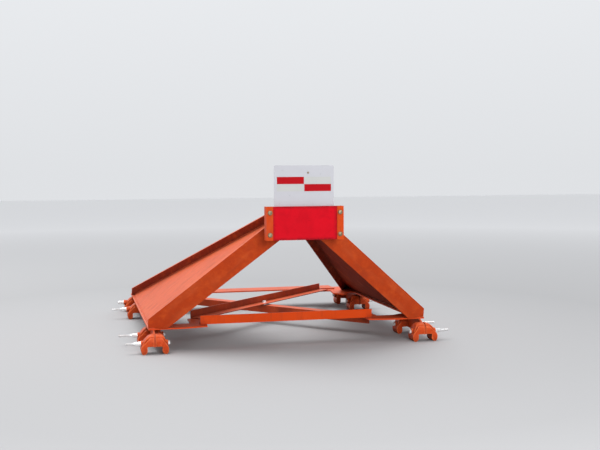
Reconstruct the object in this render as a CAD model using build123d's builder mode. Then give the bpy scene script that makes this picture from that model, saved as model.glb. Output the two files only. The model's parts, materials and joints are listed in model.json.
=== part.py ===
from build123d import *
from math import atan, cos, degrees, hypot, radians, sin, tan
import os

# Railway buffer stop clamped on two rails, all sizes in millimetres.
# +Z up, origin on the track centre line under the middle of the part.
# The strike board looks towards -Y, the rear feet are at +Y.

# ---------------------------------------------------------------- driving sizes
rail_gauge = 1435.0          # between the inner faces of the rail heads
rail_head = 70.0             # width of one rail head
rail_top = 39.0              # running surface above the jaw toes (Z=0)
front_foot = -608.0          # Y of the front flange where it meets its foot plate
foot_length = 1470.0         # front flange foot to rear flange foot, along the rail
plate_gap = 75.0             # rail top to underside of the foot plates
plate_t = 8.0

web_foot_x = 760.0           # web plate above the rail
web_angle = 39.8             # web plate above the horizontal, seen from the front
web_t = 10.0
front_lean = 0.464           # front flange: forward per unit of height
rear_lean = 2.496            # rear flange: forward per unit of height
flange_w = 103.0
flange_t = 14.0
foot_trim_x = 780.0          # outer corners of the flanges cut upright here

head_bottom = 565.0          # above rail top
head_top = 738.0
head_front = -357.0          # from front_foot
board_w = 338.0
board_t = 21.0
board_set_back = 5.0         # behind the front of the edge angles
edge_leg = 35.0              # front leg of the upright edge angles
edge_side = 55.0             # side leg of the edge angles
edge_t = 6.0
back_t = 8.0
rib_x = 118.0
rib_t = 8.0

sign_w = 316.0
sign_top = 948.0
sign_t = 3.0
sign_tuck = 62.0             # part of the sign plate behind the board
sign_corner = 7.0

# the two braces cross at slightly different angles, seen from above
upper_angle = 46.5           # to the X axis
upper_mid_y = 801.0          # where it passes the track centre line, from front_foot
upper_front = 716.0          # from there to its front end, along the brace
upper_rear = 799.0
lower_angle = 50.4
lower_mid_y = 834.0
lower_front = 835.0
lower_rear = 850.0
brace_flat = 70.0
brace_up = 45.0
brace_t = 5.0

front_beam_half = 491.0
front_beam_y = 70.0
front_beam_leg = 50.0
front_beam_h = 48.0
front_beam_t = 5.0
rear_beam_half = 640.0
rear_beam_y0 = 1408.0
rear_beam_y1 = 1575.0
rear_beam_t = 8.0

clamp_length = 84.0
clamp_y = (-60.0, 215.0, 1200.0, 1540.0)
fin_t = 10.0
bolt_z = (14.0, 14.0, 24.0, 24.0)           # above rail top
bolt_d = 14.0
bolt_af = 21.0
bolt_reach = (150.0, 175.0, 175.0, 120.0)   # free end, from rail centre
boss_r = 17.0
boss_root = 45.0             # boss starts here, inside the jaw
boss_face = (71.5, 71.5, 79.0, 79.0)        # from rail centre

os.makedirs("parts", exist_ok=True)

# ---------------------------------------------------------------- derived sizes
rail_x = rail_gauge / 2 + rail_head / 2
plate_under = rail_top + plate_gap
plate_top = plate_under + plate_t
a = radians(web_angle)
hb = rail_top + head_bottom
ht = rail_top + head_top
yf = front_foot + head_front
board_back = yf + board_set_back + board_t
back_face = board_back + sign_t + back_t
side_x = board_w / 2 + edge_leg


def front_face_y(x, z):
    """Front face of the front flange at a given distance from the track centre."""
    up = cos(a) * (web_foot_x - x) + sin(a) * (z - plate_top)
    return front_foot - front_lean * sin(a) * up


def flange_plane(s, y0, lean):
    along = Vector(-s * cos(a), -lean * sin(a), sin(a)).normalized()
    across = Vector(s * sin(a), 0, cos(a))
    face = along.cross(across)
    if face.Y < 0:
        face = face * -1
    return Plane(origin=(s * web_foot_x, y0, plate_top), x_dir=along, z_dir=face)


# ---------------------------------------------------------------- two legs
for s, side in ((-1, "left"), (1, "right")):
    web_plane = Plane(origin=(s * web_foot_x, front_foot, plate_top), x_dir=(0, 1, 0),
                      z_dir=(sin(a), 0, s * cos(a)))
    shift_f = flange_t * hypot(1, front_lean * sin(a))
    shift_r = flange_t * hypot(1, rear_lean * sin(a))
    q0, q1 = -25.0, 1040.0
    with BuildPart() as web:
        with BuildSketch(web_plane):
            with BuildLine():
                Polyline((-front_lean * sin(a) * q0 + shift_f, q0),
                         (foot_length - rear_lean * sin(a) * q0 - shift_r, q0),
                         (foot_length - rear_lean * sin(a) * q1 - shift_r, q1),
                         (-front_lean * sin(a) * q1 + shift_f, q1), close=True)
            make_face()
        extrude(amount=web_t / 2, both=True)
        split(bisect_by=Plane.XY.offset(plate_top), keep=Keep.TOP)
        split(bisect_by=Plane(origin=(s * 0.25, 0, 0), z_dir=(s, 0, 0)), keep=Keep.TOP)
        split(bisect_by=Plane(origin=(0, 0, ht - 4), z_dir=(0, 0, -1)), keep=Keep.TOP)
        split(bisect_by=Plane(origin=(0, back_face, 0), z_dir=(0, 1, 0)), keep=Keep.TOP)
    web.part.label = side + "_web_plate"
    export_step(web.part, "parts/" + side + "_web_plate.step")

    with BuildPart() as ffl:
        with BuildSketch(flange_plane(s, front_foot, front_lean)):
            with Locations((500, 0)):
                Rectangle(1300, flange_w)
        extrude(amount=flange_t)
        split(bisect_by=Plane.XY.offset(plate_top), keep=Keep.TOP)
        split(bisect_by=Plane(origin=(s * 0.25, 0, 0), z_dir=(s, 0, 0)), keep=Keep.TOP)
        split(bisect_by=Plane(origin=(s * foot_trim_x, 0, 0), z_dir=(-s, 0, 0)), keep=Keep.TOP)
        split(bisect_by=Plane(origin=(0, 0, ht - 4), z_dir=(0, 0, -1)), keep=Keep.TOP)
        split(bisect_by=Plane(origin=(0, back_face, 0), z_dir=(0, 1, 0)), keep=Keep.TOP)
    ffl.part.label = side + "_front_flange"
    export_step(ffl.part, "parts/" + side + "_front_flange.step")

    with BuildPart() as rfl:
        with BuildSketch(flange_plane(s, front_foot + foot_length, rear_lean)):
            with Locations((900, 0)):
                Rectangle(2100, flange_w)
        extrude(amount=-flange_t)
        split(bisect_by=Plane.XY.offset(plate_top), keep=Keep.TOP)
        split(bisect_by=Plane(origin=(s * 0.25, 0, 0), z_dir=(s, 0, 0)), keep=Keep.TOP)
        split(bisect_by=Plane(origin=(s * foot_trim_x, 0, 0), z_dir=(-s, 0, 0)), keep=Keep.TOP)
        split(bisect_by=Plane(origin=(0, 0, ht - 4), z_dir=(0, 0, -1)), keep=Keep.TOP)
    rfl.part.label = side + "_rear_flange"
    export_step(rfl.part, "parts/" + side + "_rear_flange.step")

# ---------------------------------------------------------------- feet: sole plates, gussets, fins
foot_in = 728.0
sole_span = (-5.0, 1560.0)   # one sole plate under each leg, from foot to foot
rear_fin_top = 1230.0
front_fin = (-97.0, 262.0)
rear_fin = (1163.0, 1577.0)
gusset_front = [(foot_in, -5), (590, -5), (458, 22), (446, 300), (536, 300), (540, 128), (640, 128), (foot_in, 185)]
gusset_rear = [(foot_in, 1542), (450, 1542), (450, 1400), (518, 1344), (592, 1338), (574, 1200), (628, 1120),
               (650, 1126), (662, 1230), (foot_in, 1230)]

fin_slope = [(52, 60), (30, 58), (14, 50), (4, 38), (0, 24)]

for s, side in ((-1, "left"), (1, "right")):
    with BuildPart() as plate:
        with BuildSketch(Plane.XY.offset(plate_under)):
            with Locations((s * (foot_in + foot_trim_x) / 2, front_foot + sum(sole_span) / 2)):
                Rectangle(foot_trim_x - foot_in, sole_span[1] - sole_span[0])
        extrude(amount=plate_t)
    plate.part.label = side + "_sole_plate"
    export_step(plate.part, "parts/" + side + "_sole_plate.step")

    for end, fin_span, shape in (("front", front_fin, gusset_front), ("rear", rear_fin, gusset_rear)):
        with BuildPart() as gusset:
            with BuildSketch(Plane.XY.offset(plate_under)):
                with BuildLine():
                    Polyline(*[(s * x, front_foot + y) for x, y in shape], close=True)
                make_face()
            extrude(amount=plate_t)
        gusset.part.label = side + "_" + end + "_gusset"
        export_step(gusset.part, "parts/" + side + "_" + end + "_gusset.step")

        holes = [(y, z) for y, z in zip(clamp_y, bolt_z) if fin_span[0] < y < fin_span[1]]
        with BuildPart() as fin:
            with BuildSketch(Plane(origin=(s * rail_x, front_foot, rail_top), x_dir=(0, 1, 0), z_dir=(1, 0, 0))):
                with BuildLine():
                    # a free end follows the jaws' slope, a little inside it
                    lead = [(fin_span[0] + u, z) for u, z in reversed(fin_slope)]
                    tail = [(fin_span[1] - u, z) for u, z in fin_slope]
                    if end == "front":
                        top = [(sole_span[0], plate_gap), (fin_span[1], plate_gap)]
                    else:
                        top = [(rear_fin_top, plate_gap), (sole_span[1], plate_gap)] + tail
                    Polyline((fin_span[0], 0), *lead, *top, (fin_span[1], 0), close=True)
                make_face()
                with Locations(*[(y, z) for y, z in holes]):
                    Circle(bolt_d / 2 + 1, mode=Mode.SUBTRACT)
            extrude(amount=fin_t / 2, both=True)
        fin.part.label = side + "_" + end + "_fin"
        export_step(fin.part, "parts/" + side + "_" + end + "_fin.step")

# ---------------------------------------------------------------- rail clamps
# each jaw has a raised middle rim and a lower, slightly longer body round it
leg_shape = [(66, 8), (71, 0), (73, -12), (71, -28), (64, -39), (52, -39), (43, -33), (39, -24), (39, 2)]
inner_rim = [(5.2, 2), (5.2, 64), (26, 64), (38, 61), (47, 54), (53, 45), (57, 36), (60, 26)] + leg_shape
inner_body = [(5.2, 2), (5.2, 51), (22, 51), (32, 49), (41, 43), (47, 35), (52, 26)] + leg_shape
outer_rim = [(5.2, 2), (5.2, 64), (14, 64), (24, 60), (33, 54), (41, 47), (48, 39), (54, 31), (58, 23)] + leg_shape
outer_body = [(5.2, 2), (5.2, 51), (17, 50), (26, 45), (35, 38), (43, 30), (50, 22)] + leg_shape
rim_side = [(0, -40), (-33, -40), (-33, 44), (-30, 54), (-23, 60), (-12, 63), (0, 64)]
body_side = [(0, -40), (-42, -40), (-42, 30), (-40, 39), (-36, 45), (-30, 49), (0, 52)]


def cast_half(d, s, ys, outline, side_shape):
    with BuildPart() as piece:
        with BuildSketch(Plane(origin=(s * rail_x, front_foot + ys[0] - clamp_length, rail_top), x_dir=(1, 0, 0),
                               z_dir=(0, -1, 0))):
            with BuildLine():
                Polyline(*[(d * x, z) for x, z in outline], close=True)
            make_face()
        extrude(amount=-(ys[1] - ys[0] + 2 * clamp_length))
        with BuildSketch(Plane(origin=(s * rail_x - 100, front_foot, rail_top), x_dir=(0, 1, 0), z_dir=(1, 0, 0))):
            for y in ys:
                with BuildLine():
                    Polyline(*[(y + u, z) for u, z in side_shape],
                             *[(y - u, z) for u, z in reversed(side_shape[1:-1])], close=True)
                make_face()
        extrude(amount=200, mode=Mode.INTERSECT)
    return piece.part


for s, side in ((-1, "left"), (1, "right")):
    for end, ys in (("front", clamp_y[:2]), ("rear", clamp_y[2:])):
        zs, faces = (bolt_z[:2], boss_face[:2]) if end == "front" else (bolt_z[2:], boss_face[2:])
        for jaw, k, rim_outline, body_outline in (("outer", 1, outer_rim, outer_body),
                                                  ("inner", -1, inner_rim, inner_body)):
            d = s * k
            rim = cast_half(d, s, ys, rim_outline, rim_side)
            body = cast_half(d, s, ys, body_outline, body_side)
            with BuildPart() as jaws:
                add(body)
                add(rim)
                for y, z, face in zip(ys, zs, faces):
                    with BuildSketch(Plane(origin=(s * rail_x + d * boss_root, front_foot + y, rail_top + z),
                                           x_dir=(0, 1, 0), z_dir=(d, 0, 0))):
                        Circle(boss_r)
                    extrude(amount=face - boss_root)
                    with BuildSketch(Plane(origin=(s * rail_x, front_foot + y, rail_top + z),
                                           x_dir=(0, 1, 0), z_dir=(d, 0, 0))):
                        Circle(bolt_d / 2 + 1)
                    extrude(amount=100, mode=Mode.SUBTRACT)
            name = side + "_" + end + "_" + jaw + "_jaws"
            jaws.part.label = name
            export_step(jaws.part, "parts/" + name + ".step")

    # bolts: head on the inner side of the rail, long thread on the outer side
    with BuildPart() as bolts:
        for i, y in enumerate(clamp_y):
            with BuildSketch(Plane(origin=(s * (rail_x - boss_face[i] - 10), front_foot + y, rail_top + bolt_z[i]),
                                   x_dir=(0, 1, 0), z_dir=(s, 0, 0))):
                RegularPolygon(bolt_af / 2, 6, major_radius=False)
            extrude(amount=10)
            with BuildSketch(Plane(origin=(s * (rail_x - boss_face[i]), front_foot + y, rail_top + bolt_z[i]),
                                   x_dir=(0, 1, 0), z_dir=(s, 0, 0))):
                Circle(bolt_d / 2)
            extrude(amount=boss_face[i] + bolt_reach[i])
    bolts.part.label = side + "_clamp_bolts"
    export_step(bolts.part, "parts/" + side + "_clamp_bolts.step")

    with BuildPart() as nuts:
        for i, y in enumerate(clamp_y):
            with BuildSketch(Plane(origin=(s * (rail_x + boss_face[i]), front_foot + y, rail_top + bolt_z[i]),
                                   x_dir=(0, 1, 0), z_dir=(s, 0, 0))):
                Circle(15)
                Circle(bolt_d / 2 + 0.25, mode=Mode.SUBTRACT)
            extrude(amount=3)
            with BuildSketch(Plane(origin=(s * (rail_x + boss_face[i] + 3), front_foot + y, rail_top + bolt_z[i]),
                                   x_dir=(0, 1, 0), z_dir=(s, 0, 0))):
                RegularPolygon(bolt_af / 2, 6, major_radius=False)
                Circle(bolt_d / 2 + 0.25, mode=Mode.SUBTRACT)
            extrude(amount=26)
            with BuildSketch(Plane(origin=(s * (rail_x + boss_face[i] + 31), front_foot + y, rail_top + bolt_z[i]),
                                   x_dir=(0, 1, 0), z_dir=(s, 0, 0))):
                Circle(9.5)
                Circle(bolt_d / 2 + 0.25, mode=Mode.SUBTRACT)
            extrude(amount=7)
    nuts.part.label = side + "_clamp_nuts"
    export_step(nuts.part, "parts/" + side + "_clamp_nuts.step")

# ---------------------------------------------------------------- cross beams and braces
with BuildPart() as front_beam:
    with BuildSketch(Plane(origin=(-front_beam_half, front_foot + front_beam_y, plate_top), x_dir=(0, 1, 0), z_dir=(1, 0, 0))):
        with BuildLine():
            Polyline((0, 0), (front_beam_leg, 0), (front_beam_leg, front_beam_t), (front_beam_t, front_beam_t),
                     (front_beam_t, front_beam_h), (0, front_beam_h), close=True)
        make_face()
    extrude(amount=2 * front_beam_half)
front_beam.part.label = "front_beam"
export_step(front_beam.part, "parts/front_beam.step")

with BuildPart() as rear_beam:
    with BuildSketch(Plane(origin=(-rear_beam_half, front_foot, plate_top), x_dir=(0, 1, 0), z_dir=(1, 0, 0))):
        with BuildLine():
            Polyline((rear_beam_y0, 0), (rear_beam_y1, 0), (rear_beam_y1, rear_beam_t), (rear_beam_y0, rear_beam_t),
                     close=True)
        make_face()
    extrude(amount=2 * rear_beam_half)
rear_beam.part.label = "rear_beam"
export_step(rear_beam.part, "parts/rear_beam.step")

bu, bl = radians(upper_angle), radians(lower_angle)
cross_x = (lower_mid_y - upper_mid_y) / (tan(bu) + tan(bl))
cross_y = upper_mid_y + cross_x * tan(bu)

with BuildPart() as upper_brace:
    # on the gussets, left front to right rear, upright leg on its far edge
    with BuildSketch(Plane(origin=(-upper_front * cos(bu), front_foot + upper_mid_y - upper_front * sin(bu), plate_top),
                           x_dir=(-sin(bu), cos(bu), 0), z_dir=(cos(bu), sin(bu), 0))):
        with BuildLine():
            Polyline((-brace_flat / 2, 0), (brace_flat / 2, 0), (brace_flat / 2, brace_up),
                     (brace_flat / 2 - brace_t, brace_up), (brace_flat / 2 - brace_t, brace_t),
                     (-brace_flat / 2, brace_t), close=True)
        make_face()
    extrude(amount=upper_front + upper_rear)
    with BuildSketch(Plane(origin=(cross_x, front_foot + cross_y, plate_top))):
        Circle(bolt_d / 2 + 1)
    extrude(amount=brace_t, mode=Mode.SUBTRACT)
upper_brace.part.label = "upper_brace"
export_step(upper_brace.part, "parts/upper_brace.step")

with BuildPart() as lower_brace:
    # under the gussets, right front to left rear, upright leg hanging on its near edge
    with BuildSketch(Plane(origin=(lower_front * cos(bl), front_foot + lower_mid_y - lower_front * sin(bl), plate_under),
                           x_dir=(sin(bl), cos(bl), 0), z_dir=(-cos(bl), sin(bl), 0))):
        # local y points down here
        with BuildLine():
            Polyline((-brace_flat / 2, 0), (brace_flat / 2, 0), (brace_flat / 2, brace_t),
                     (-brace_flat / 2 + brace_t, brace_t), (-brace_flat / 2 + brace_t, brace_up),
                     (-brace_flat / 2, brace_up), close=True)
        make_face()
    extrude(amount=lower_front + lower_rear)
    with BuildSketch(Plane(origin=(cross_x, front_foot + cross_y, plate_under))):
        Circle(bolt_d / 2 + 1)
    extrude(amount=-brace_t, mode=Mode.SUBTRACT)
lower_brace.part.label = "lower_brace"
export_step(lower_brace.part, "parts/lower_brace.step")

with BuildPart() as cross_bolt:
    with BuildSketch(Plane(origin=(cross_x, front_foot + cross_y, plate_top + brace_t))):
        RegularPolygon(bolt_af / 2, 6, major_radius=False)
    extrude(amount=10)
    with BuildSketch(Plane(origin=(cross_x, front_foot + cross_y, plate_top + brace_t))):
        Circle(bolt_d / 2)
    extrude(amount=-(plate_t + 2 * brace_t + 24))
cross_bolt.part.label = "cross_bolt"
export_step(cross_bolt.part, "parts/cross_bolt.step")

with BuildPart() as cross_packing:
    # packing ring between the two braces, and the nut under them
    with BuildSketch(Plane(origin=(cross_x, front_foot + cross_y, plate_under))):
        Circle(24)
        Circle(bolt_d / 2 + 0.5, mode=Mode.SUBTRACT)
    extrude(amount=plate_t)
    with BuildSketch(Plane(origin=(cross_x, front_foot + cross_y, plate_under - brace_t))):
        RegularPolygon(bolt_af / 2, 6, major_radius=False)
        Circle(bolt_d / 2 + 0.25, mode=Mode.SUBTRACT)
    extrude(amount=-13)
cross_packing.part.label = "cross_packing_and_nut"
export_step(cross_packing.part, "parts/cross_packing_and_nut.step")

# ---------------------------------------------------------------- head
with BuildPart() as board:
    with BuildSketch(Plane.XY.offset(hb)):
        with Locations((0, yf + board_set_back + board_t / 2)):
            Rectangle(board_w, board_t)
    extrude(amount=ht - hb)
board.part.label = "impact_board"
export_step(board.part, "parts/impact_board.step")

bolt_rows = (hb + 28, ht - 32)
for s, side in ((-1, "left"), (1, "right")):
    with BuildPart() as edge:
        with BuildSketch(Plane.XY.offset(hb)):
            with BuildLine():
                Polyline((s * (side_x - edge_leg + 0.2), yf), (s * side_x, yf), (s * side_x, yf + edge_side),
                         (s * (side_x - edge_t), yf + edge_side), (s * (side_x - edge_t), yf + edge_t),
                         (s * (side_x - edge_leg + 0.2), yf + edge_t), close=True)
            make_face()
        extrude(amount=ht - hb)
        for z in bolt_rows:
            with BuildSketch(Plane(origin=(s * (side_x - 19), yf, z), x_dir=(1, 0, 0), z_dir=(0, 1, 0))):
                Circle(7.5)
            extrude(amount=edge_t, mode=Mode.SUBTRACT)
    edge.part.label = side + "_edge_angle"
    export_step(edge.part, "parts/" + side + "_edge_angle.step")

with BuildPart() as back_plate:
    with BuildSketch(Plane.XY.offset(hb)):
        with Locations((0, back_face - back_t / 2)):
            Rectangle(2 * (side_x - edge_t) - 0.4, back_t)
    extrude(amount=ht - hb)
    for z in bolt_rows:
        for s in (-1, 1):
            with BuildSketch(Plane(origin=(s * (side_x - 19), back_face - back_t, z), x_dir=(1, 0, 0), z_dir=(0, 1, 0))):
                Circle(7.5)
            extrude(amount=back_t, mode=Mode.SUBTRACT)
back_plate.part.label = "head_back_plate"
export_step(back_plate.part, "parts/head_back_plate.step")

with BuildPart() as ribs:
    for s in (-1, 1):
        top = ht - 48
        with BuildSketch(Plane(origin=(s * rib_x, 0, 0), x_dir=(0, 1, 0), z_dir=(1, 0, 0))):
            with BuildLine():
                Polyline((back_face, hb), (front_face_y(rib_x - rib_t / 2, hb), hb),
                         (front_face_y(rib_x - rib_t / 2, top), top), (back_face, top), close=True)
            make_face()
        extrude(amount=rib_t / 2, both=True)
ribs.part.label = "head_ribs"
export_step(ribs.part, "parts/head_ribs.step")

with BuildPart() as head_bolts:
    for z in bolt_rows:
        for s in (-1, 1):
            with BuildSketch(Plane(origin=(s * (side_x - 19), yf, z), x_dir=(1, 0, 0), z_dir=(0, -1, 0))):
                RegularPolygon(9.5, 6, major_radius=False)
            extrude(amount=9)
            with BuildSketch(Plane(origin=(s * (side_x - 19), yf, z), x_dir=(1, 0, 0), z_dir=(0, 1, 0))):
                Circle(7)
            extrude(amount=edge_side + 16)
            with BuildSketch(Plane(origin=(s * (side_x - 19), back_face, z), x_dir=(1, 0, 0), z_dir=(0, 1, 0))):
                RegularPolygon(9.5, 6, major_radius=False)
                Circle(7.25, mode=Mode.SUBTRACT)
            extrude(amount=12)
head_bolts.part.label = "head_bolts_and_nuts"
export_step(head_bolts.part, "parts/head_bolts_and_nuts.step")

# ---------------------------------------------------------------- sign plate and tape
zs0, zs1 = ht - sign_tuck, rail_top + sign_top
with BuildPart() as sign:
    with BuildSketch(Plane(origin=(0, board_back + sign_t, 0), x_dir=(1, 0, 0), z_dir=(0, -1, 0))):
        with Locations((0, (zs0 + zs1) / 2)):
            RectangleRounded(sign_w, zs1 - zs0, sign_corner)
    extrude(amount=sign_t)
sign.part.label = "sign_plate"
export_step(sign.part, "parts/sign_plate.step")

tape_h = 36.5
tape_w = 142.0
row_top = zs1 - 59
with BuildPart() as red_tape:
    with BuildSketch(Plane(origin=(0, board_back, 0), x_dir=(1, 0, 0), z_dir=(0, -1, 0))):
        with Locations((-72, row_top - tape_h / 2), (72, row_top - 1 - tape_h * 1.5)):
            Rectangle(tape_w, tape_h)
    extrude(amount=0.6)
red_tape.part.label = "red_tape"
export_step(red_tape.part, "parts/red_tape.step")

with BuildPart() as white_tape:
    with BuildSketch(Plane(origin=(0, board_back, 0), x_dir=(1, 0, 0), z_dir=(0, -1, 0))):
        with Locations((72, row_top - tape_h / 2), (-72, row_top - 1 - tape_h * 1.5)):
            Rectangle(tape_w, tape_h)
    extrude(amount=0.6)
white_tape.part.label = "white_tape"
export_step(white_tape.part, "parts/white_tape.step")
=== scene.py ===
import json
import math
import random

import bmesh
import bpy
from mathutils import Matrix, Vector


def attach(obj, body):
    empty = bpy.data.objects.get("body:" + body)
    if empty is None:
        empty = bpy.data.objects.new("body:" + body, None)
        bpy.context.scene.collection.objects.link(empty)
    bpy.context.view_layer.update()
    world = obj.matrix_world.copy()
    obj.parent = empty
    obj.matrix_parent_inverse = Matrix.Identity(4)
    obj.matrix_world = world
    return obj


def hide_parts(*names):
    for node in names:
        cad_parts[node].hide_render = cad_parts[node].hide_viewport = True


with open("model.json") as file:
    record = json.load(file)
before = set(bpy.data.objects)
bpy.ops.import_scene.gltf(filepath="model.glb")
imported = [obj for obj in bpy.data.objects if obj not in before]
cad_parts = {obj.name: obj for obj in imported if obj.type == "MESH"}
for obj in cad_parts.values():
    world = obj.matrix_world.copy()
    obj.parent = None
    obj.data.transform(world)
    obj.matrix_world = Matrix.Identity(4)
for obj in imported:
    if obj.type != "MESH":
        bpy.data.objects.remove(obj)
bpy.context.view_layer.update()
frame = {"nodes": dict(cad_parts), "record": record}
nodes = frame["nodes"]
rnd = random.Random(7)

# ------------------------------------------------------------------ sizes taken from the part, in metres
RAIL_TOP = 0.039
FOOT_Y = -0.6080             # front flange at its foot plate
RAIL_X = 0.7525
PLATE_TOP = RAIL_TOP + 0.083
PLATE_UNDER = RAIL_TOP + 0.075
WEB_X = 0.760
A = math.radians(39.8)
LEAN_F = 0.464
LEAN_R = 2.496
FOOT_LEN = 1.470
WEB_T = 0.010
FLANGE_T = 0.014
CLAMP_Y = (-0.060, 0.215, 1.200, 1.540)
BOLT_Z = tuple(RAIL_TOP + z for z in (0.014, 0.014, 0.024, 0.024))
BOLT_R = 0.0069
BOLT_AF = 0.021
BOLT_REACH = (0.150, 0.175, 0.175, 0.120)
BOSS = (0.0715, 0.0715, 0.0790, 0.0790)


# ------------------------------------------------------------------ material helpers
def new_mat(name):
    m = bpy.data.materials.new(name)
    m.use_nodes = True
    nt = m.node_tree
    for n in list(nt.nodes):
        nt.nodes.remove(n)
    out = nt.nodes.new("ShaderNodeOutputMaterial")
    bsdf = nt.nodes.new("ShaderNodeBsdfPrincipled")
    nt.links.new(bsdf.outputs["BSDF"], out.inputs["Surface"])
    return m, nt, bsdf


def coords(nt, scale=(1, 1, 1)):
    tc = nt.nodes.new("ShaderNodeTexCoord")
    mp = nt.nodes.new("ShaderNodeMapping")
    mp.inputs["Scale"].default_value = scale
    nt.links.new(tc.outputs["Object"], mp.inputs["Vector"])
    return mp.outputs["Vector"]


def noise(nt, vec, scale, detail=4.0, rough=0.55, dist=0.0):
    n = nt.nodes.new("ShaderNodeTexNoise")
    n.inputs["Scale"].default_value = scale
    n.inputs["Detail"].default_value = detail
    n.inputs["Roughness"].default_value = rough
    n.inputs["Distortion"].default_value = dist
    nt.links.new(vec, n.inputs["Vector"])
    return n.outputs["Fac"]


def ramp(nt, fac, stops):
    r = nt.nodes.new("ShaderNodeValToRGB")
    e = r.color_ramp.elements
    while len(e) > 1:
        e.remove(e[-1])
    e[0].position, e[0].color = stops[0][0], (*stops[0][1], 1)
    for p, c in stops[1:]:
        x = e.new(p)
        x.color = (*c, 1)
    nt.links.new(fac, r.inputs["Fac"])
    return r.outputs["Color"]


def mix(nt, fac, a, b, mode="MIX"):
    n = nt.nodes.new("ShaderNodeMix")
    n.data_type = "RGBA"
    n.blend_type = mode
    for src, key in ((fac, 0), (a, 6), (b, 7)):
        if hasattr(src, "is_linked"):
            nt.links.new(src, n.inputs[key])
        elif key == 0:
            n.inputs[0].default_value = src
        else:
            n.inputs[key].default_value = (*src, 1)
    return n.outputs[2]


def math_node(nt, op, a, b=None, clamp=False):
    n = nt.nodes.new("ShaderNodeMath")
    n.operation = op
    n.use_clamp = clamp
    for i, v in enumerate((a, b)):
        if v is None:
            continue
        if hasattr(v, "is_linked"):
            nt.links.new(v, n.inputs[i])
        else:
            n.inputs[i].default_value = v
    return n.outputs[0]


def map_range(nt, v, a, b, c=0.0, d=1.0):
    n = nt.nodes.new("ShaderNodeMapRange")
    n.inputs["From Min"].default_value = a
    n.inputs["From Max"].default_value = b
    n.inputs["To Min"].default_value = c
    n.inputs["To Max"].default_value = d
    nt.links.new(v, n.inputs["Value"])
    return n.outputs["Result"]


def bump(nt, bsdf, height, strength, distance=0.001):
    b = nt.nodes.new("ShaderNodeBump")
    b.inputs["Strength"].default_value = strength
    b.inputs["Distance"].default_value = distance
    nt.links.new(height, b.inputs["Height"])
    nt.links.new(b.outputs["Normal"], bsdf.inputs["Normal"])


ORANGE = (0.660, 0.063, 0.0035)
ORANGE_DARK = (0.510, 0.046, 0.005)
ORANGE_PALE = (0.700, 0.092, 0.014)
RUST = (0.085, 0.026, 0.012)
DUST_AND_SHEEN = (0.66, 0.25, 0.15)


def leg_coords(nt, along, across):
    """Coordinates that run up the slope of either leg, for streaks and scratches in the paint."""
    tc = nt.nodes.new("ShaderNodeTexCoord")
    sep = nt.nodes.new("ShaderNodeSeparateXYZ")
    nt.links.new(tc.outputs["Object"], sep.inputs["Vector"])
    com = nt.nodes.new("ShaderNodeCombineXYZ")
    nt.links.new(math_node(nt, "ABSOLUTE", sep.outputs["X"]), com.inputs["X"])
    nt.links.new(sep.outputs["Y"], com.inputs["Y"])
    nt.links.new(sep.outputs["Z"], com.inputs["Z"])
    d = Vector((-math.cos(A), -0.45, math.sin(A))).normalized()
    n = Vector((math.sin(A), 0, math.cos(A)))
    e = d.cross(n).normalized()
    out = nt.nodes.new("ShaderNodeCombineXYZ")
    for axis, vec, k in (("X", d, along), ("Y", e, across), ("Z", n, across)):
        dot = nt.nodes.new("ShaderNodeVectorMath")
        dot.operation = "DOT_PRODUCT"
        nt.links.new(com.outputs["Vector"], dot.inputs[0])
        dot.inputs[1].default_value = vec * k
        nt.links.new(dot.outputs["Value"], out.inputs[axis])
    return out.outputs["Vector"]


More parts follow.
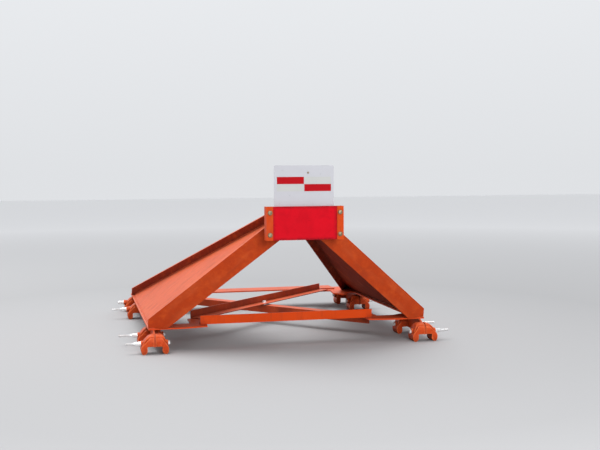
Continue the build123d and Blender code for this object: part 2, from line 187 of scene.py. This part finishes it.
def orange_paint(name, cast=False, side_shade=0.0, shade=1.0, spec=0.24, leg=False, vivid=0.0, ao_shade_strength=0.72, gloss=0.0, more_dust_and_sheen=0.0):
    m, nt, b = new_mat(name)
    v = coords(nt)
    large = noise(nt, v, 3.2, 4.0, 0.55)
    mid = noise(nt, v, 24.0, 5.0, 0.6)
    fine = noise(nt, v, 190.0, 4.0, 0.6)
    col = ramp(nt, large, [(0.30, ORANGE_DARK), (0.5, ORANGE), (0.70, ORANGE_PALE)])
    col = mix(nt, map_range(nt, mid, 0.35, 0.7, 0.0, 0.5), col, ORANGE)
    if shade < 1.0:
        col = mix(nt, 1.0 - shade, col, (0.23, 0.020, 0.004))
    if vivid:
        col = mix(nt, vivid, col, (0.86, 0.072, 0.003))
    geo = nt.nodes.new("ShaderNodeNewGeometry")
    sep = nt.nodes.new("ShaderNodeSeparateXYZ")
    nt.links.new(geo.outputs["Normal"], sep.inputs["Vector"])
    # undersides painted darker: painted shade for the dim light under things
    underside_shade_mask = map_range(nt, sep.outputs["Z"], 0.02, -0.45, 0.0, 1.0)
    col = mix(nt, math_node(nt, "MULTIPLY", underside_shade_mask, 0.88, True), col, (0.140, 0.013, 0.007))
    # steep sides painted darker as painted shade, more in some places than others by noise
    if side_shade:
        side_shade_amount = map_range(nt, noise(nt, v, 5.0, 4.0, 0.6), 0.30, 0.70, side_shade, side_shade * 0.45)
        steep = map_range(nt, sep.outputs["Z"], 0.3, 0.7, 1.0, 0.0)
        col = mix(nt, math_node(nt, "MULTIPLY", side_shade_amount, steep, True), col, (0.115, 0.026, 0.016))
    # pale dust on upward faces, also painted light: the sheen of the sky on them
    up = map_range(nt, sep.outputs["Z"], 0.35, 0.9, 0.0, 1.0)
    dust_and_sheen = math_node(nt, "MULTIPLY", up, map_range(nt, mid, 0.40, 0.66, 0.16 + more_dust_and_sheen, 0.40 + more_dust_and_sheen), True)
    col = mix(nt, dust_and_sheen, col, DUST_AND_SHEEN)
    # broad faded patches and darker smears, stretched down the plates
    if leg:
        patch = noise(nt, leg_coords(nt, 2.2, 9.0), 1.0, 5.0, 0.62)
    else:
        patch = noise(nt, coords(nt, (9.0, 9.0, 3.0)), 1.0, 5.0, 0.62, 0.4)
    col = mix(nt, map_range(nt, patch, 0.56, 0.74, 0.0, 0.28), col, (0.74, 0.150, 0.045))
    if leg:
        smear = noise(nt, leg_coords(nt, 3.4, 15.0), 1.0, 6.0, 0.66)
    else:
        smear = noise(nt, coords(nt, (14.0, 14.0, 6.0)), 1.0, 6.0, 0.66, 0.6)
    col = mix(nt, map_range(nt, smear, 0.55, 0.72, 0.0, 0.50), col, (0.330, 0.046, 0.009))
    if leg:
        # small weathered mottling, lighter and browner spots
        mott = noise(nt, v, 21.0, 6.0, 0.70, 0.3)
        col = mix(nt, map_range(nt, mott, 0.48, 0.70, 0.0, 0.34), col, (0.72, 0.118, 0.014))
        col = mix(nt, map_range(nt, mott, 0.50, 0.32, 0.0, 0.36), col, (0.390, 0.058, 0.010))
    # chips with rust, few and small
    speck = noise(nt, v, 62.0, 8.0, 0.78)
    chips = map_range(nt, speck, 0.675, 0.705, 0.0, 1.0)
    col = mix(nt, math_node(nt, "MULTIPLY", chips, 0.75, True), col, RUST)
    # faint runs of dirt down the plates
    run = noise(nt, leg_coords(nt, 3.0, 42.0) if leg else coords(nt, (26.0, 26.0, 2.2)), 1.0, 4.0, 0.6)
    col = mix(nt, map_range(nt, run, 0.52, 0.72, 0.0, 0.17 if leg else 0.24), col, (0.30, 0.045, 0.018))
    # painted shade in corners and where pieces meet, from ambient occlusion
    ao = nt.nodes.new("ShaderNodeAmbientOcclusion")
    ao.samples = 6
    ao.inputs["Distance"].default_value = 0.045
    ao_shade = map_range(nt, ao.outputs["AO"], 0.30, 0.88, ao_shade_strength, 0.0)
    ao_shade = math_node(nt, "MULTIPLY", ao_shade, map_range(nt, mid, 0.30, 0.62, 0.70, 1.0), True)
    col = mix(nt, ao_shade, col, (0.105, 0.026, 0.012))
    if cast:
        # raised edges lighter, as rubbed wear and as a painted highlight; hollows darker as painted shade
        ridge_wear_and_highlight = map_range(nt, geo.outputs["Pointiness"], 0.503, 0.518, 0.0, 0.62)
        col = mix(nt, math_node(nt, "MULTIPLY", ridge_wear_and_highlight, map_range(nt, mid, 0.35, 0.6, 0.6, 1.0), True), col, (0.86, 0.175, 0.045))
        hollow_shade = map_range(nt, geo.outputs["Pointiness"], 0.494, 0.466, 0.0, 0.62)
        col = mix(nt, hollow_shade, col, (0.085, 0.014, 0.006))
        blot = noise(nt, v, 42.0, 5.0, 0.62, 0.4)
        col = mix(nt, map_range(nt, blot, 0.54, 0.70, 0.0, 0.55), col, (0.240, 0.030, 0.008))
        col = mix(nt, map_range(nt, blot, 0.44, 0.32, 0.0, 0.55), col, (0.88, 0.165, 0.040))
    nt.links.new(col, b.inputs["Base Color"])
    rough = map_range(nt, mid, 0.3, 0.7, 0.42 - gloss, 0.56 - gloss)
    rough = math_node(nt, "ADD", rough, math_node(nt, "MULTIPLY", chips, 0.3))
    rough = math_node(nt, "ADD", rough, math_node(nt, "MULTIPLY", underside_shade_mask, 0.42))
    nt.links.new(rough, b.inputs["Roughness"])
    b.inputs["Specular IOR Level"].default_value = spec
    if cast:
        h = math_node(nt, "ADD", math_node(nt, "MULTIPLY", noise(nt, v, 110.0, 6.0, 0.65), 1.0),
                      math_node(nt, "MULTIPLY", noise(nt, v, 420.0, 3.0, 0.6), 0.5))
        h = math_node(nt, "ADD", h, math_node(nt, "MULTIPLY", noise(nt, v, 34.0, 3.0, 0.55), 3.0))
        bump(nt, b, h, 0.60, 0.0018)
    else:
        h = math_node(nt, "ADD", math_node(nt, "MULTIPLY", fine, 0.30),
                      math_node(nt, "MULTIPLY", noise(nt, v, 9.0, 2.0, 0.5), 1.2))
        bump(nt, b, h, 0.30, 0.0012)
    return m


def metal(name, color, rough=0.35, tint=(0.45, 0.42, 0.38)):
    m, nt, b = new_mat(name)
    v = coords(nt)
    n1 = noise(nt, v, 60.0, 5.0, 0.6)
    col = mix(nt, map_range(nt, n1, 0.35, 0.75, 0.0, 0.6), color, tint)
    nt.links.new(col, b.inputs["Base Color"])
    b.inputs["Metallic"].default_value = 0.55
    nt.links.new(map_range(nt, n1, 0.3, 0.7, rough - 0.08, rough + 0.15), b.inputs["Roughness"])
    bump(nt, b, noise(nt, v, 300.0, 3.0, 0.6), 0.25, 0.0005)
    return m


def plain(name, color, dark, rough, bump_scale=40.0, spec=0.3, board_edge_shadow=0.0):
    m, nt, b = new_mat(name)
    v = coords(nt)
    n1 = noise(nt, v, 7.0, 4.0, 0.55)
    n2 = noise(nt, v, 60.0, 5.0, 0.65)
    col = mix(nt, map_range(nt, n1, 0.35, 0.75, 0.0, 0.55), color, dark)
    col = mix(nt, map_range(nt, n2, 0.62, 0.74, 0.0, 0.35), col, tuple(c * 0.55 for c in dark))
    if board_edge_shadow:
        # painted shadow along the four edges of the board, next to the edge angles and the back plate
        sep = nt.nodes.new("ShaderNodeSeparateXYZ")
        nt.links.new(v, sep.inputs["Vector"])
        side = map_range(nt, math_node(nt, "ABSOLUTE", sep.outputs["X"]), 0.150, 0.168, 0.0, 0.7)
        low = map_range(nt, sep.outputs["Z"], RAIL_TOP + 0.580, RAIL_TOP + 0.568, 0.0, 1.0)
        top = map_range(nt, sep.outputs["Z"], RAIL_TOP + 0.722, RAIL_TOP + 0.735, 0.0, 0.8)
        edge = math_node(nt, "MAXIMUM", math_node(nt, "MAXIMUM", side, low), top)
        edge = math_node(nt, "MULTIPLY", edge, map_range(nt, n2, 0.35, 0.6, 0.35, 1.0), True)
        col = mix(nt, math_node(nt, "MULTIPLY", edge, board_edge_shadow, True), col, (0.150, 0.006, 0.010))
        cloud = map_range(nt, noise(nt, v, 11.0, 6.0, 0.7, 0.5), 0.50, 0.68, 0.0, 0.35)
        col = mix(nt, cloud, col, tuple(c * 0.62 for c in color))
    nt.links.new(col, b.inputs["Base Color"])
    nt.links.new(map_range(nt, n2, 0.3, 0.7, rough - 0.06, rough + 0.08), b.inputs["Roughness"])
    b.inputs["Specular IOR Level"].default_value = spec
    bump(nt, b, noise(nt, v, bump_scale, 4.0, 0.6), 0.15, 0.0008)
    return m


MAT = {
    "orange_paint": orange_paint("orange_paint"),
    "cast_orange": orange_paint("cast_orange", True, 0.0, 0.73, 0.16, False, 0.22, 0.95, 0.08, -0.04),
    # braces: a copy with painted shade on its steep sides
    "orange_shaded_sides": orange_paint("orange_shaded_sides", False, 0.85),
    "orange_vivid": orange_paint("orange_vivid", False, 0.0, 1.0, 0.10, False, 0.55),
    "orange_edge": orange_paint("orange_edge", False, 0.0, 1.0, 0.10),
    "orange_leg": orange_paint("orange_leg", False, 0.0, 1.0, 0.15, True, 0.0, 0.72, 0.0, 0.15),
    # sole plates: a copy with more pale dust and painted sheen, so their top strip looks lit: painted light
    "orange_sole_lit": orange_paint("orange_sole_lit", False, 0.0, 1.0, 0.20, False, 0.30, 0.15, 0.0, 0.34),
    # gussets: a brighter copy with less painted corner shade, so their tops look lit: painted light
    "orange_gusset_lit": orange_paint("orange_gusset_lit", False, 0.0, 1.0, 0.20, False, 0.35, 0.20),
    "zinc_steel": metal("zinc_steel", (0.86, 0.87, 0.88), 0.32),
    "yellow_zinc_steel": metal("yellow_zinc_steel", (0.27, 0.215, 0.130), 0.40, (0.110, 0.070, 0.035)),
    "red_board": plain("red_board", (0.67, 0.003, 0.014), (0.54, 0.003, 0.011), 0.60, spec=0.06, board_edge_shadow=0.75),
    "sign_white": plain("sign_white", (0.55, 0.55, 0.588), (0.50, 0.50, 0.535), 0.50, spec=0.20),
    "tape_red": plain("tape_red", (0.47, 0.003, 0.008), (0.39, 0.003, 0.007), 0.50, 700.0, 0.06),
    "tape_white": plain("tape_white", (0.540, 0.545, 0.530), (0.49, 0.495, 0.48), 0.42, 700.0, 0.2),
}

slot_of = {s["node"]: s["material_slot"] for s in frame["record"]["subparts"]}


def set_mat(o, mat):
    o.data.materials.clear()
    o.data.materials.append(mat)


def bevel(o, width, segments=2, angle=30):
    mod = o.modifiers.new("edge", "BEVEL")
    mod.width = width
    mod.segments = segments
    mod.limit_method = "ANGLE"
    mod.angle_limit = math.radians(angle)
    mod.harden_normals = False


for name, o in nodes.items():
    set_mat(o, MAT[slot_of[name]])
    if "brace" in name:
        set_mat(o, MAT["orange_shaded_sides"])
    elif name == "front_beam":
        set_mat(o, MAT["orange_vivid"])
    elif "sole" in name:
        set_mat(o, MAT["orange_sole_lit"])
    elif "gusset" in name:
        set_mat(o, MAT["orange_gusset_lit"])
    elif "edge_angle" in name:
        set_mat(o, MAT["orange_edge"])
    elif "web_plate" in name or "flange" in name:
        set_mat(o, MAT["orange_leg"])
    if "jaws" in name:
        bevel(o, 0.004, 3)
    elif "tape" in name:
        pass
    elif name == "impact_board":
        bevel(o, 0.003, 3)
    elif "web" in name or "flange" in name or "gusset" in name or "plate" in name or "fin" in name:
        bevel(o, 0.0012, 2)
    else:
        bevel(o, 0.0010, 2)


# ------------------------------------------------------------------ shape helpers
def link(name, bm, mat, smooth=True):
    me = bpy.data.meshes.new(name)
    bm.normal_update()
    bm.to_mesh(me)
    bm.free()
    o = bpy.data.objects.new(name, me)
    bpy.context.collection.objects.link(o)
    me.materials.append(MAT[mat])
    if smooth:
        for p in me.polygons:
            p.use_smooth = True
        me.set_sharp_from_angle(angle=math.radians(38))
    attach(o, "root")
    return o


def basis(axis):
    z = Vector(axis).normalized()
    x = Vector((0, 0, 1)) if abs(z.z) < 0.9 else Vector((1, 0, 0))
    x = (x - z * x.dot(z)).normalized()
    return x, z.cross(x), z


def rings(bm, origin, axis, profile, seg=48, inner=None, phase=0.0):
    """A turned or hexagonal piece: profile is a list of (height, radius function of the angle)."""
    x, y, z = basis(axis)
    loops = []
    for h, r in profile:
        loop = []
        for i in range(seg):
            t = 2 * math.pi * i / seg + phase
            rad = r(t) if callable(r) else r
            loop.append(bm.verts.new(Vector(origin) + z * h + x * (rad * math.cos(t)) + y * (rad * math.sin(t))))
        loops.append(loop)
    for a, b in zip(loops, loops[1:]):
        for i in range(seg):
            j = (i + 1) % seg
            bm.faces.new((a[i], a[j], b[j], b[i]))
    bm.faces.new(list(reversed(loops[0])))
    bm.faces.new(loops[-1])
    return loops


def hexagon(af):
    def r(t):
        k = math.pi / 3
        u = (t % k) - k / 2
        return af / 2 / math.cos(u)
    return r


def hex_body(bm, origin, axis, af, height, both=True, seg=60, phase=0.0):
    """Nut or bolt head with the round chamfer on its corners."""
    hx = hexagon(af)
    c = af * 0.085

    def clipped(d):
        lim = af / 2 * 0.975 + d * 1.75
        return lambda t: min(hx(t - 0.0), lim)
    ds = [0, c * 0.25, c * 0.5, c * 0.75, c]
    prof = []
    if both:
        prof += [(d, clipped(d)) for d in ds]
    else:
        prof += [(0.0, hx)]
    prof += [(height - d, clipped(d)) for d in reversed(ds)]
    rings(bm, origin, axis, prof, seg, phase=phase)


def disc(bm, origin, axis, radius, height, seg=36):
    e = min(0.0006, height * 0.3)
    rings(bm, origin, axis, [(0, radius - e), (e, radius), (height - e, radius), (height, radius - e)], seg)


def thread(bm, origin, axis, radius, length, pitch, seg=20, depth=None):
    """A screw thread whose crest runs round as a helix, with a chamfered end."""
    x, y, z = basis(axis)
    depth = depth or pitch * 0.5
    n = max(2, int(length / pitch * 6))
    loops = []
    for k in range(n + 1):
        h = length * k / n
        end = max(0.0, 1 - (length - h) / (pitch * 1.2))
        loop = []
        for i in range(seg):
            t = 2 * math.pi * i / seg
            ph = (h / pitch - i / seg) % 1.0
            tri = 1 - abs(2 * ph - 1)
            rad = radius - depth * (1 - tri) - end * depth * 0.9
            loop.append(bm.verts.new(Vector(origin) + z * h + x * (rad * math.cos(t)) + y * (rad * math.sin(t))))
        loops.append(loop)
    for a, b in zip(loops, loops[1:]):
        for i in range(seg):
            j = (i + 1) % seg
            bm.faces.new((a[i], a[j], b[j], b[i]))
    bm.faces.new(list(reversed(loops[0])))
    bm.faces.new(loops[-1])


def bead(bm, p0, p1, radius, step=0.0035, seg=8):
    """A weld bead laid along a corner: a rounded run with uneven ripples."""
    p0, p1 = Vector(p0), Vector(p1)
    x, y, z = basis(p1 - p0)
    length = (p1 - p0).length
    n = max(4, int(length / step))
    loops = []
    wob = rnd.random() * 50
    for k in range(n + 1):
        h = length * k / n
        ripple = 0.5 + 0.5 * math.cos(2 * math.pi * h / 0.0095 + 0.7 * math.sin(h * 37 + wob))
        r = radius * (0.86 + 0.16 * ripple + 0.07 * math.sin(h * 61 + wob) + 0.04 * math.sin(h * 173 + wob))
        if k in (0, n):
            r *= 0.45
        off = x * (0.0008 * math.sin(h * 45 + wob)) + y * (0.0008 * math.cos(h * 39 + wob))
        loops.append([bm.verts.new(p0 + z * h + off + x * (r * math.cos(2 * math.pi * i / seg)) + y * (r * math.sin(2 * math.pi * i / seg)))
                      for i in range(seg)])
    for a, b in zip(loops, loops[1:]):
        for i in range(seg):
            j = (i + 1) % seg
            bm.faces.new((a[i], a[j], b[j], b[i]))
    bm.faces.new(list(reversed(loops[0])))
    bm.faces.new(loops[-1])


def cast_piece(name, node, voxel=0.0018, rounds=4):
    """A casting with soft, uneven edges from the plain jaw solids."""
    src = nodes[node]
    bm = bmesh.new()
    bm.from_mesh(src.data)
    bmesh.ops.remove_doubles(bm, verts=bm.verts, dist=1e-6)
    o = link(name, bm, slot_of[node], False)
    mod = o.modifiers.new("remesh", "REMESH")
    mod.mode = "VOXEL"
    mod.voxel_size = voxel
    mod.use_smooth_shade = True
    sm = o.modifiers.new("soften", "SMOOTH")
    sm.factor = 0.5
    sm.iterations = rounds
    deps = bpy.context.evaluated_depsgraph_get()
    me = bpy.data.meshes.new_from_object(o.evaluated_get(deps))
    o.modifiers.clear()
    o.data = me
    set_mat(o, MAT[slot_of[node]])
    for p in me.polygons:
        p.use_smooth = True
    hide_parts(node)
    return o


# ------------------------------------------------------------------ castings
for side in ("left", "right"):
    for end in ("front", "rear"):
        for jaw in ("outer", "inner"):
            n = side + "_" + end + "_" + jaw + "_jaws"
            cast_piece(n + "_casting", n)

# ------------------------------------------------------------------ clamp bolts with threads, washers and double nuts
for s, side in ((-1, "left"), (1, "right")):
    bb = bmesh.new()
    bn = bmesh.new()
    ax = Vector((s, 0, 0))
    for i, y in enumerate(CLAMP_Y):
        yy = FOOT_Y + y
        ph = rnd.random()
        inner_face = Vector((s * (RAIL_X - BOSS[i]), yy, BOLT_Z[i]))
        outer_face = Vector((s * (RAIL_X + BOSS[i]), yy, BOLT_Z[i]))
        hex_body(bb, inner_face - ax * 0.010, ax, BOLT_AF, 0.010, phase=ph)
        rings(bb, inner_face, ax, [(0, BOLT_R), (2 * BOSS[i] - 0.002, BOLT_R)], 24)
        thread(bb, outer_face - ax * 0.004, ax, BOLT_R, BOLT_REACH[i] - BOSS[i] + 0.004, 0.002)
        disc(bn, outer_face, ax, 0.015, 0.003)
        hex_body(bn, outer_face + ax * 0.003, ax, BOLT_AF, 0.0128, phase=ph + 0.3)
        hex_body(bn, outer_face + ax * 0.0162, ax, BOLT_AF, 0.0128, phase=ph + 0.9)
        disc(bn, outer_face + ax * 0.031, ax, 0.0095, 0.007)
    o = link(side + "_clamp_bolts_threaded", bb, "zinc_steel")
    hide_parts(side + "_clamp_bolts")
    o = link(side + "_clamp_nuts_chamfered", bn, "zinc_steel")
    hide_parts(side + "_clamp_nuts")

# ------------------------------------------------------------------ bolts of the strike board
HEAD_Y = FOOT_Y - 0.357
HEAD_BACK = HEAD_Y + 0.037
bm = bmesh.new()
for z in (RAIL_TOP + 0.593, RAIL_TOP + 0.706):
    for s in (-1, 1):
        x = s * 0.185
        ph = rnd.random()
        disc(bm, (x, HEAD_Y, z), (0, -1, 0), 0.0120, 0.0020)
        hex_body(bm, (x, HEAD_Y - 0.0018, z), (0, -1, 0), 0.0190, 0.0072, both=False, phase=ph)
        rings(bm, (x, HEAD_Y - 0.001, z), (0, 1, 0), [(0, 0.0069), (0.044, 0.0069)], 24)
        disc(bm, (x, HEAD_BACK, z), (0, 1, 0), 0.0120, 0.0020)
        hex_body(bm, (x, HEAD_BACK + 0.0018, z), (0, 1, 0), 0.0190, 0.0104, phase=ph + 0.4)
        thread(bm, (x, HEAD_BACK + 0.004, z), (0, 1, 0), 0.0068, 0.036, 0.0018)
o = link("head_bolts_chamfered", bm, "yellow_zinc_steel")
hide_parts("head_bolts_and_nuts")

# small screws that hold the sign plate, and the crossing bolt
bm = bmesh.new()
ph = 0.2
CROSS = (0.01461, FOOT_Y + 0.81640)
hex_body(bm, (*CROSS, PLATE_TOP + 0.007), (0, 0, 1), BOLT_AF, 0.009, both=False, phase=ph)
disc(bm, (*CROSS, PLATE_TOP + 0.005), (0, 0, 1), 0.015, 0.002)
rings(bm, (*CROSS, PLATE_TOP + 0.007), (0, 0, -1), [(0, BOLT_R), (0.022, BOLT_R)], 24)
thread(bm, (*CROSS, PLATE_UNDER - 0.004), (0, 0, -1), BOLT_R, 0.024, 0.002)
o = link("cross_bolt_threaded", bm, "zinc_steel")
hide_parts("cross_bolt")
bm = bmesh.new()
SIGN_Y = FOOT_Y - 0.331
rings(bm, (0.0215, SIGN_Y, RAIL_TOP + 0.9105), (0, -1, 0),
      [(0, 0.0052), (0.0010, 0.0052), (0.0019, 0.0045), (0.0026, 0.0030), (0.0029, 0.0012)], 24)
link("sign_screw", bm, "yellow_zinc_steel")

# ------------------------------------------------------------------ weld beads
def leg_point(s, q, off_n, y):
    """A point at distance q up the web, off_n off the web's middle plane, y along the track from the foot line."""
    return Vector((s * (WEB_X - q * math.cos(A) + off_n * math.sin(A)), FOOT_Y + y,
                   PLATE_TOP + q * math.sin(A) + off_n * math.cos(A)))


KF, KR = LEAN_F * math.sin(A), LEAN_R * math.sin(A)
SF, SR = FLANGE_T * math.hypot(1, KF), FLANGE_T * math.hypot(1, KR)
for s, side in ((-1, "left"), (1, "right")):
    bm = bmesh.new()
    for off in (WEB_T / 2, -WEB_T / 2):
        q0 = 0.004 if off > 0 else 0.016
        bead(bm, leg_point(s, q0, off, -KF * q0 + SF), leg_point(s, 0.93, off, -KF * 0.93 + SF), 0.0048)
        bead(bm, leg_point(s, q0, off, FOOT_LEN - KR * q0 - SR), leg_point(s, 0.95, off, FOOT_LEN - KR * 0.95 - SR), 0.0048)
    link(side + "_leg_welds", bm, "orange_paint")

# feet: web and flanges on the sole plate, fins under it, gussets and beams beside it
HALF = WEB_T / 2 / math.sin(A)
SEAM_X = 0.728
for s, side in ((-1, "left"), (1, "right")):
    bm = bmesh.new()
    for dx in (-HALF, HALF):
        bead(bm, (s * (WEB_X + dx), FOOT_Y + 0.006, PLATE_TOP), (s * (WEB_X + dx), FOOT_Y + FOOT_LEN - 0.03, PLATE_TOP), 0.0046)
    bead(bm, (s * 0.700, FOOT_Y - 0.001, PLATE_TOP), (s * 0.779, FOOT_Y - 0.001, PLATE_TOP), 0.0042)
    bead(bm, (s * 0.700, FOOT_Y + FOOT_LEN + 0.001, PLATE_TOP), (s * 0.779, FOOT_Y + FOOT_LEN + 0.001, PLATE_TOP), 0.0042)
    for y0, y1 in ((-0.003, 0.183), (1.232, 1.540)):
        bead(bm, (s * SEAM_X, FOOT_Y + y0, PLATE_TOP - 0.0016), (s * SEAM_X, FOOT_Y + y1, PLATE_TOP - 0.0016), 0.0034)
    # tie beams on the gussets
    bead(bm, (s * 0.450, FOOT_Y + 0.120, PLATE_TOP), (s * 0.490, FOOT_Y + 0.120, PLATE_TOP), 0.0040)
    bead(bm, (s * 0.491, FOOT_Y + 0.072, PLATE_TOP), (s * 0.491, FOOT_Y + 0.119, PLATE_TOP), 0.0040)
    bead(bm, (s * 0.520, FOOT_Y + 1.408, PLATE_TOP), (s * 0.638, FOOT_Y + 1.408, PLATE_TOP), 0.0042)
    bead(bm, (s * 0.640, FOOT_Y + 1.410, PLATE_TOP), (s * 0.640, FOOT_Y + 1.538, PLATE_TOP), 0.0042)
    link(side + "_foot_welds", bm, "orange_paint")
    bm = bmesh.new()
    for y0, y1 in ((-0.002, 0.260), (1.232, 1.556)):
        for dx in (-0.005, 0.005):
            bead(bm, (s * (RAIL_X + dx), FOOT_Y + y0, PLATE_UNDER), (s * (RAIL_X + dx), FOOT_Y + y1, PLATE_UNDER), 0.0046)
    link(side + "_fin_welds", bm, "orange_paint")

# head: edge angles and ribs on the back plate
bm = bmesh.new()
for s in (-1, 1):
    for dx in (-0.004, 0.004):
        bead(bm, (s * 0.118 + dx, HEAD_BACK, RAIL_TOP + 0.570), (s * 0.118 + dx, HEAD_BACK, RAIL_TOP + 0.686), 0.0036)
    bead(bm, (s * 0.198, HEAD_BACK, RAIL_TOP + 0.568), (s * 0.198, HEAD_BACK, RAIL_TOP + 0.735), 0.0034)
link("head_welds", bm, "orange_paint")

# ------------------------------------------------------------------ floor, light, camera
bpy.ops.mesh.primitive_plane_add(size=60, location=(0, 0, 0))
floor = bpy.context.object
floor.name = "floor"
fm, fnt, fb = new_mat("floor_pale")
fgeo = fnt.nodes.new("ShaderNodeNewGeometry")
flen = fnt.nodes.new("ShaderNodeVectorMath")
flen.operation = "LENGTH"
fnt.links.new(fgeo.outputs["Position"], flen.inputs[0])
fnt.links.new(mix(fnt, map_range(fnt, flen.outputs["Value"], 2.5, 11.0), (0.42, 0.42, 0.425), (0.90, 0.90, 0.905)),
              fb.inputs["Base Color"])
fb.inputs["Roughness"].default_value = 0.9
floor.data.materials.append(fm)


def area(name, loc, target, size, power, color=(1, 1, 1)):
    d = bpy.data.lights.new(name, "AREA")
    d.shape = "SQUARE"
    d.size = size
    d.energy = power
    d.color = color
    o = bpy.data.objects.new(name, d)
    bpy.context.collection.objects.link(o)
    o.location = loc
    o.rotation_euler = (Vector(target) - Vector(loc)).to_track_quat("-Z", "Y").to_euler()
    return o


area("sky_light", (-1.6, 0.6, 5.5), (0, 0, 0.3), 5.0, 260)
area("front_light", (0.4, -7.6, 2.4), (0, -0.4, 0.4), 2.5, 285)

world = bpy.data.worlds.new("studio")
bpy.context.scene.world = world
world.use_nodes = True
wt = world.node_tree
bg = wt.nodes["Background"]
tc = wt.nodes.new("ShaderNodeTexCoord")
sp = wt.nodes.new("ShaderNodeSeparateXYZ")
wt.links.new(tc.outputs["Generated"], sp.inputs["Vector"])
high = map_range(wt, sp.outputs["Z"], 0.0, 0.9, 0.78, 1.15)
back = map_range(wt, sp.outputs["Y"], -0.6, 0.5, 0.42, 1.0)
wt.links.new(math_node(wt, "MULTIPLY", high, back), bg.inputs["Strength"])
bg.inputs["Color"].default_value = (0.95, 0.97, 1.0, 1)

YAW, PITCH, ROLL = math.radians(13.395), math.radians(-3.130), math.radians(-0.312)
fwd = Vector((math.sin(YAW) * math.cos(PITCH), math.cos(YAW) * math.cos(PITCH), math.sin(PITCH)))
right = Vector((math.cos(YAW), -math.sin(YAW), 0))
up = right.cross(fwd)
r2 = right * math.cos(ROLL) + up * math.sin(ROLL)
u2 = up * math.cos(ROLL) - right * math.sin(ROLL)
cam_data = bpy.data.cameras.new("camera")
cam = bpy.data.objects.new("camera", cam_data)
bpy.context.collection.objects.link(cam)
cam.matrix_world = Matrix(((r2.x, u2.x, -fwd.x, -1.15475), (r2.y, u2.y, -fwd.y, -5.08444 + FOOT_Y),
                           (r2.z, u2.z, -fwd.z, 0.90856 + RAIL_TOP), (0, 0, 0, 1)))
cam_data.sensor_fit = "HORIZONTAL"
cam_data.sensor_width = 36.0
cam_data.lens = 950.04 * 36.0 / 600.0
cam_data.clip_end = 100
bpy.context.scene.camera = cam
bpy.context.scene.view_settings.view_transform = "Standard"
